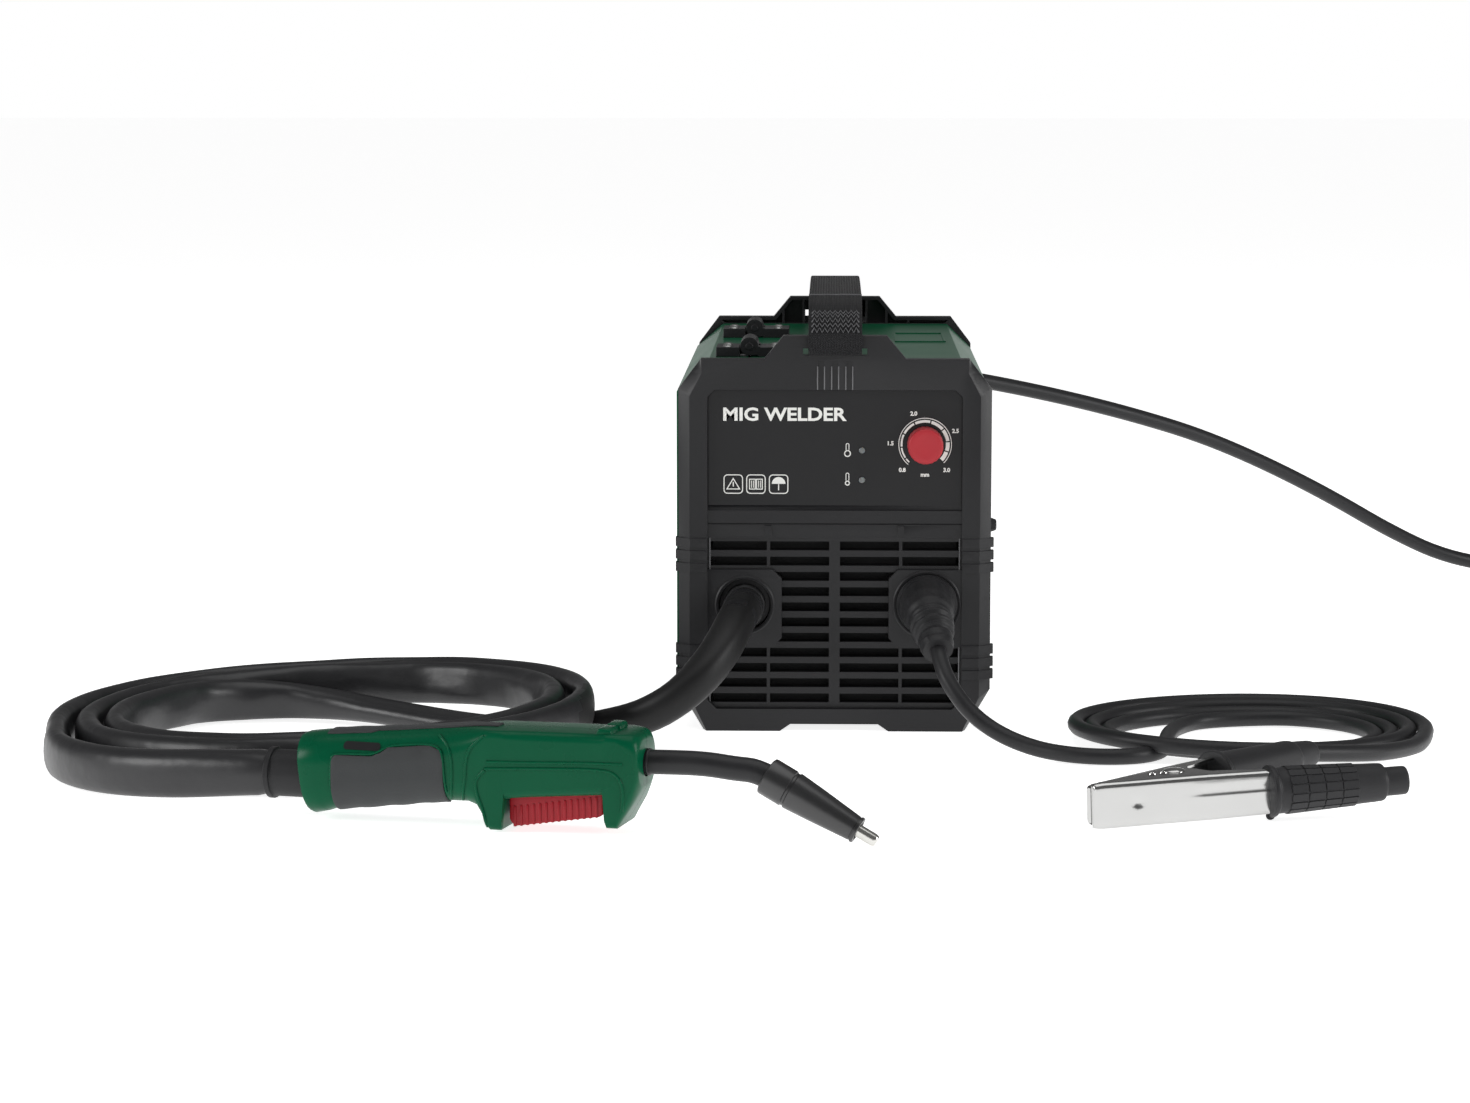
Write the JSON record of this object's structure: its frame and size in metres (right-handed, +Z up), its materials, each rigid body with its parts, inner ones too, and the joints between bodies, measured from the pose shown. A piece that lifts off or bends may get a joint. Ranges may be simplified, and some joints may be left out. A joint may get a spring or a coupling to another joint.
{
  "type": "mig welding machine",
  "caption": "Portable flux-core MIG welder with a hinged spool door, wire feeder, hose-fed torch, earth cable with clamp and a mains cord with plug.",
  "frame": {"origin": "on the floor under the middle of the machine housing", "axes": "+X to the right seen from the control panel, +Y to the rear, +Z up"},
  "size_m": [1.0495, 0.9963, 0.2424],
  "materials": {
    "black_plastic": "fine textured injection moulding",
    "green_cover": "satin green coating",
    "steel_tray": "powder coated sheet steel",
    "zinc_steel": "zinc plated sheet",
    "label_film": "printed polyester film",
    "red_plastic": "satin moulding",
    "trigger_red": "ribbed moulding",
    "led_lens": "clear grey lens",
    "webbing": "woven polypropylene webbing",
    "rubber": "matte rubber",
    "grip_rubber": "soft matte rubber",
    "torch_green": "satin injection moulding",
    "hose_rubber": "soft hose sheath",
    "cable_rubber": "rubber cable sheath",
    "chrome": "polished nickel plate",
    "copper_chrome": "plated contact tip",
    "spring_steel": "spring steel",
    "aluminium": "extruded",
    "iron_core": "laminated core with windings",
    "circuit": "circuit board with parts",
    "spool_plastic": "moulded spool",
    "wire_steel": "wound welding wire",
    "white_plastic": "nylon"
  },
  "bodies": {
    "machine": {"front_panel": "black_plastic", "rear_panel": "black_plastic", "base_tray": "steel_tray", "right_cover": "green_cover", "fixed_leaf_front": "black_plastic", "fixed_leaf_rear": "black_plastic", "cover_screws": "black_plastic", "control_label": "label_film", "pot_body": "zinc_steel", "led_lenses": "led_lens", "carry_strap": "webbing", "torch_gland": "rubber", "ground_socket": "black_plastic", "ground_plug": "rubber", "mains_gland": "black_plastic", "switch_bezel": "black_plastic", "partition": "steel_tray", "spool_spindle": "white_plastic", "spool_nut": "red_plastic", "weld_wire": "wire_steel", "feeder_base": "black_plastic", "feed_motor": "zinc_steel", "fan_frame": "black_plastic", "inverter_board": "circuit", "heatsink": "aluminium", "transformer": "iron_core", "torch_shell_left": "torch_green", "torch_shell_right": "torch_green", "torch_grip": "grip_rubber", "swan_neck": "rubber", "gas_nozzle": "black_plastic", "contact_tip": "copper_chrome", "hose_sleeve": "rubber", "torch_hose": "hose_rubber", "hose_coil": "hose_rubber", "ground_cable": "cable_rubber", "ground_coil": "cable_rubber", "clamp_jaw_rear": "chrome", "clamp_grip_rear": "grip_rubber", "clamp_spring": "spring_steel", "mains_cord": "cable_rubber", "mains_coil": "cable_rubber", "mains_plug": "black_plastic"},
    "door": {"spool_door": "green_cover", "door_leaf_front": "black_plastic", "door_leaf_rear": "black_plastic"},
    "latch": {"door_latch": "black_plastic"},
    "knob": {"control_knob": "red_plastic"},
    "spool": {"wire_spool": "spool_plastic", "wire_winding": "wire_steel"},
    "feed_roll": {"drive_roll": "zinc_steel"},
    "arm": {"pressure_arm": "black_plastic"},
    "roller": {"pressure_roller": "zinc_steel"},
    "tension": {"tension_knob": "black_plastic"},
    "fan": {"fan_rotor": "black_plastic"},
    "rocker": {"switch_rocker": "red_plastic"},
    "trigger": {"torch_trigger": "trigger_red"},
    "clamp_half": {"clamp_jaw_front": "chrome", "clamp_grip_front": "grip_rubber", "clamp_pivot": "chrome"}
  },
  "joints": [
    {"name": "door_hinge", "type": "hinge", "parent": "machine", "child": "door", "pos_m": [-0.049, 0, 0.21], "axis": [0, 1, 0], "range_deg": [0, 95]},
    {"name": "latch_turn", "type": "hinge", "parent": "door", "child": "latch", "pos_m": [-0.0882, 0, 0.042], "axis": [1, 0, 0], "range_deg": [-90, 0]},
    {"name": "knob_turn", "type": "hinge", "parent": "machine", "child": "knob", "pos_m": [0.05, -0.18, 0.161], "axis": [0, -1, 0], "range_deg": [-135, 135]},
    {"name": "spool_spin", "type": "hinge", "parent": "machine", "child": "spool", "pos_m": [-0.051, 0.045, 0.118], "axis": [1, 0, 0], "continuous": true},
    {"name": "feed_roll_spin", "type": "hinge", "parent": "machine", "child": "feed_roll", "pos_m": [-0.051, -0.1, 0.055], "axis": [1, 0, 0], "continuous": true},
    {"name": "arm_lift", "type": "hinge", "parent": "machine", "child": "arm", "pos_m": [-0.042, -0.128, 0.092], "axis": [1, 0, 0], "range_deg": [0, 60]},
    {"name": "roller_spin", "type": "hinge", "parent": "arm", "child": "roller", "pos_m": [-0.051, -0.1, 0.0808], "axis": [1, 0, 0], "continuous": true},
    {"name": "tension_turn", "type": "hinge", "parent": "arm", "child": "tension", "pos_m": [-0.0421, -0.077, 0.1], "axis": [0, 0, 1], "range_deg": [-720, 720]},
    {"name": "fan_spin", "type": "hinge", "parent": "machine", "child": "fan", "pos_m": [0.03, 0.151, 0.075], "axis": [0, 1, 0], "continuous": true},
    {"name": "rocker_tilt", "type": "hinge", "parent": "machine", "child": "rocker", "pos_m": [0.015, 0.177, 0.165], "axis": [1, 0, 0], "range_deg": [0, 14]},
    {"name": "trigger_pull", "type": "hinge", "parent": "machine", "child": "trigger", "pos_m": [-0.11199, -0.46691, 0.0226], "axis": [0.2419, 0.9703, 0], "range_deg": [0, 4], "stiffness_Nm_per_rad": 0.3, "springref_deg": -5.73},
    {"name": "clamp_open", "type": "hinge", "parent": "machine", "child": "clamp_half", "pos_m": [0.168, -0.431, 0.0135], "axis": [-0.0372, -0.0093, 0.9993], "range_deg": [0, 20], "stiffness_Nm_per_rad": 2, "springref_deg": -28.65}
  ],
  "couplings": [
    {"joint": "roller_spin", "follows": "feed_roll_spin", "ratio": -1.54}
  ]
}
